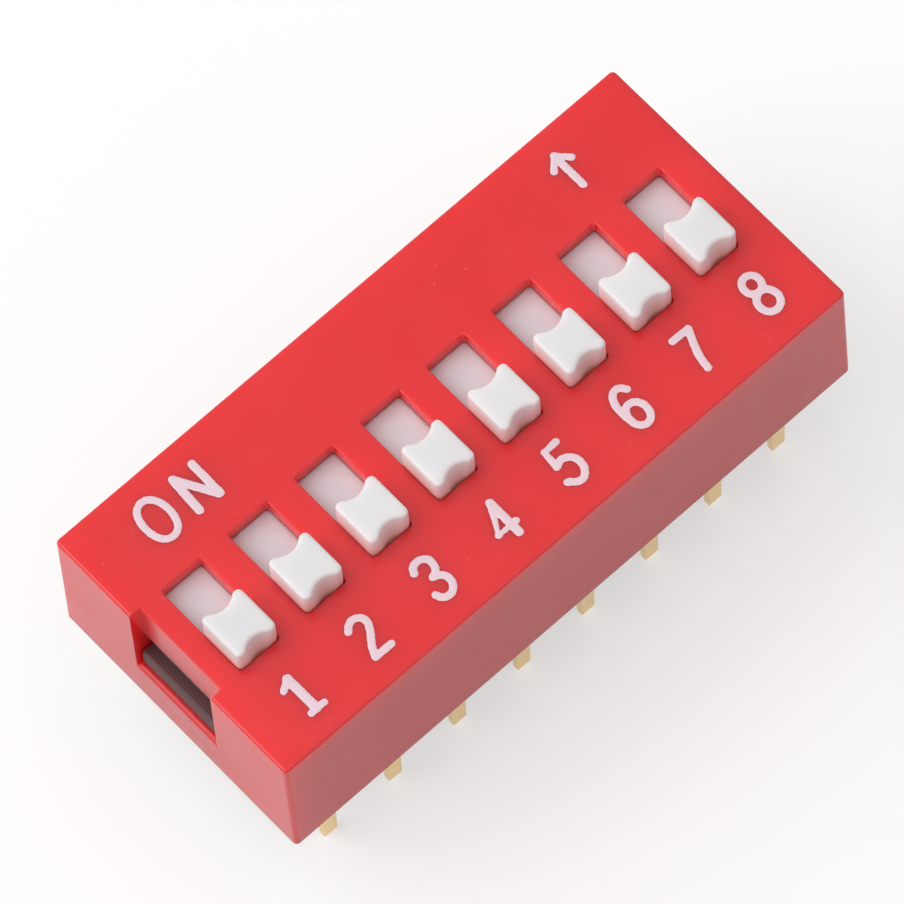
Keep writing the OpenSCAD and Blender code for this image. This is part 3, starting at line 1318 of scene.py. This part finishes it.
def hung(name: str, data: bpy.types.ID, place: Vector, turn: Quaternion) -> Piece:
    """Adds a camera or a lamp to the scene.

    Args:
        name: Its name.
        data: Its settings.
        place: Where it is, in metres.
        turn: How it is turned.

    Returns:
        Its object.
    """
    made = bpy.data.objects.new(name, data)
    bpy.context.scene.collection.objects.link(made)
    made.location, made.rotation_mode = place, "QUATERNION"
    made.rotation_quaternion = turn
    return made


@dataclass
class Viewpoint:
    """The camera: a long lens held over the -X end of the number side."""

    lens: float = 426.9
    distance: float = 310.3
    azimuth: float = -36.56
    elevation: float = 65.97
    roll: float = -6.38
    aim: tuple[float, float, float] = (0.42, 0.73, 0.96)
    clip: Pair = (0.01, 20)

    def build(self) -> None:
        """Adds the camera and makes it the scene's own."""
        data = bpy.data.cameras.new("camera")
        data.lens = self.lens
        data.clip_start, data.clip_end = self.clip
        back = bearing(self.azimuth, self.elevation)
        roll = Quaternion((0, 0, 1), math.radians(self.roll))
        bpy.context.scene.camera = hung(
            "camera", data, (Vector(self.aim) + back * self.distance) * MM, facing(back) @ roll)


@dataclass(frozen=True)
class Lamp:
    """A square lamp that faces the object from a metre away."""

    name: str
    azimuth: float
    elevation: float
    size: float
    power: float

    def build(self) -> None:
        """Adds the lamp."""
        data = bpy.data.lights.new(self.name, "AREA")
        data.size, data.energy = self.size, self.power
        place = bearing(self.azimuth, self.elevation)
        hung(self.name, data, place, facing(place))


@dataclass
class Studio:
    """A white floor under a soft plain sky, a wide overhead lamp and a key lamp."""

    floor_z: float
    floor_size: float = 8
    sky: float = 0.535
    bounce: float = 0.38
    floor_white: float = 0.5
    floor_glow: float = 0.53
    mirror_glow: float = 0.45
    lamps: tuple[Lamp, ...] = (
        Lamp("overhead", azimuth=-40, elevation=80, size=1.2, power=2.15),
        Lamp("key", azimuth=-128, elevation=45, size=1.2, power=7.75),
    )

    def floor(self) -> None:
        """Lays a white floor that keeps the object's shadow."""
        take()
        bpy.ops.mesh.primitive_plane_add(size=self.floor_size, location=(0, 0, self.floor_z * MM))
        piece = named("floor")
        shader = Shader("white_floor")
        path = shader.node("ShaderNodeLightPath").outputs
        strength = shader.ramp(path["Is Glossy Ray"], (0, 1), (self.floor_glow, self.mirror_glow))
        glow = shader.node("ShaderNodeEmission", {}, {"Strength": strength})
        dull, white = (
            shader.node("ShaderNodeBsdfDiffuse", {}, {"Color": (shade, shade, shade, 1)})
            for shade in (self.bounce, self.floor_white)
        )
        bright = shader.node("ShaderNodeAddShader", {}, {0: white.outputs[0], 1: glow.outputs[0]})
        choice = shader.node("ShaderNodeMixShader", {}, {
            0: shader.shown(), 1: dull.outputs[0], 2: bright.outputs[0],
        })
        shader.node("ShaderNodeOutputMaterial", {}, {"Surface": choice.outputs[0]})
        piece.data.materials.append(shader.material)

    def build(self) -> None:
        """Adds the floor, the sky and the lamps."""
        self.floor()
        world = bpy.data.worlds.new("sky")
        bpy.context.scene.world = world
        tree = Tree(world)
        strength = tree.ramp(tree.shown(), (0, 1), (self.sky, 1))
        back = tree.node("ShaderNodeBackground", {}, {"Strength": strength})
        tree.node("ShaderNodeOutputWorld", {}, {"Surface": back.outputs[0]})
        for lamp in self.lamps:
            lamp.build()
        bpy.context.scene.view_settings.view_transform = "Standard"


def add_sliders(names: list[str]) -> None:
    """Models one slider and sets a copy of it at each position.

    Args:
        names: The sliders' nodes in the frame, from position 1 on.
    """
    first = Slider(*box_mm(names[0]))
    master = first.build()
    white = WHITE_KNOB.material()
    for number, name in enumerate(names, 1):
        piece = copied(master, f"knob_slider_{number}", Slider(*box_mm(name)).centre - first.centre)
        Fitting(f"switch_{number}", "slider_plastic", (name,)).fit(piece, white)
    bpy.data.objects.remove(master, do_unlink=True)


def stamp_pins(centres: list[float], foot_z: float) -> dict[str, Piece]:
    """Models a pin for each row and copies it along the row.

    Args:
        centres: Each position's X.
        foot_z: The height of the pins' ends.

    Returns:
        The pins by the node that each replaces.
    """
    pins = {}
    for row, pad_gap in (("number", Pin.NUMBER_PAD_GAP), ("on", Pin.ON_PAD_GAP)):
        pin = Pin(pad_gap, foot_z).build()
        if row == "number":
            pin = turned(pin)
        for number, x in enumerate(centres, 1):
            node = f"{row}_pin_{number}"
            pins[node] = copied(pin, f"stamped_{node}", (x, 0, 0))
        bpy.data.objects.remove(pin, do_unlink=True)
    return pins


def main() -> None:
    """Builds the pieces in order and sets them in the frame."""
    logging.basicConfig(level=logging.INFO, format="%(name)s: %(message)s")
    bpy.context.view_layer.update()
    sliders = sorted(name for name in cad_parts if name.startswith("slider_"))
    centres = [sum(corner.x for corner in box_mm(name)) / 2 for name in sliders]
    cover = Cover(*box_mm("cover"), centres)
    Fitting(HOUSING, "cover_plastic", ("cover",)).fit(cover.build(), RED_COVER.material())
    add_sliders(sliders)
    foot_z = box_mm("number_pin_1")[0].z
    pins = stamp_pins(centres, foot_z)
    base = Base(*box_mm("base"), cover.inner_x, cover.recess_x, cover.sill_z)
    Fitting(HOUSING, "base_plastic", ("base",)).fit(
        base.build(list(pins.values())), BLACK_BASE.material())
    plate = PIN_PLATE.material()
    for node, pin in pins.items():
        Fitting(HOUSING, "pin_metal", (node,)).fit(pin, plate)
    spring = CONTACT_PLATE.material()
    for number in range(1, len(centres) + 1):
        dress(f"contact_{number}", spring)
    ink = PAD_INK.material()
    for sign in Print(centres, cover.high.z).build():
        Fitting(HOUSING).fit(sign, ink)
    Viewpoint().build()
    Studio(foot_z).build()


if __name__ == "__main__":
    main()
